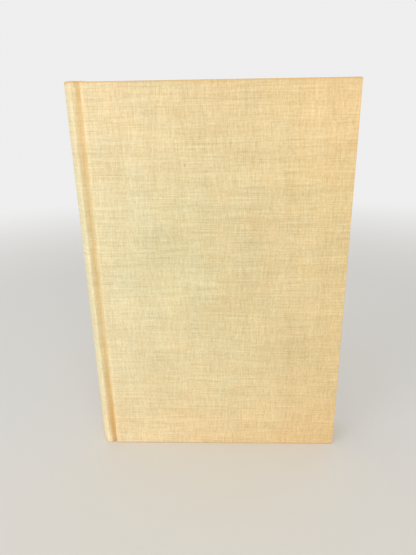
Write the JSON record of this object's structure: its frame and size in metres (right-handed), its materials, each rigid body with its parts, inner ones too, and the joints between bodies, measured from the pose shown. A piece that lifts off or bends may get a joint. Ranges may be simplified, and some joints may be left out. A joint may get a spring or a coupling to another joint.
{
  "type": "hardback book",
  "caption": "Closed hardback book in plain cream linen cloth, with a rounded spine, grooved joints and two covers that open on their cloth joints.",
  "frame": {"origin": "on the surface the book stands on, under the middle of the closed book", "axes": "+X from the spine to the fore-edge, +Y from the front cover to the back cover, +Z from tail to head"},
  "size_m": [0.146, 0.026, 0.2104],
  "materials": {
    "linen_cloth": "matte",
    "greyboard": "matte",
    "page_paper": "matte",
    "endpaper": "matte",
    "lining_paper": "matte",
    "gauze": "matte",
    "band_cloth": "matte"
  },
  "bodies": {
    "block": {"text_block": "page_paper", "spine_mull": "gauze", "spine_lining": "lining_paper", "head_band": "band_cloth", "tail_band": "band_cloth", "front_flyleaf": "endpaper", "back_flyleaf": "endpaper", "spine_inlay": "greyboard", "spine_cloth": "linen_cloth"},
    "front_cover": {"front_board": "greyboard", "front_cloth": "linen_cloth", "front_mull": "gauze", "front_pastedown": "endpaper"},
    "back_cover": {"back_board": "greyboard", "back_cloth": "linen_cloth", "back_mull": "gauze", "back_pastedown": "endpaper"}
  },
  "joints": [
    {"name": "front_cover_hinge", "type": "hinge", "parent": "block", "child": "front_cover", "pos_m": [-0.0637, -0.01315, 0.105], "axis": [0, 0, -1], "range_deg": [0, 178]},
    {"name": "back_cover_hinge", "type": "hinge", "parent": "block", "child": "back_cover", "pos_m": [-0.0637, 0.01315, 0.105], "axis": [0, 0, 1], "range_deg": [0, 178]}
  ]
}
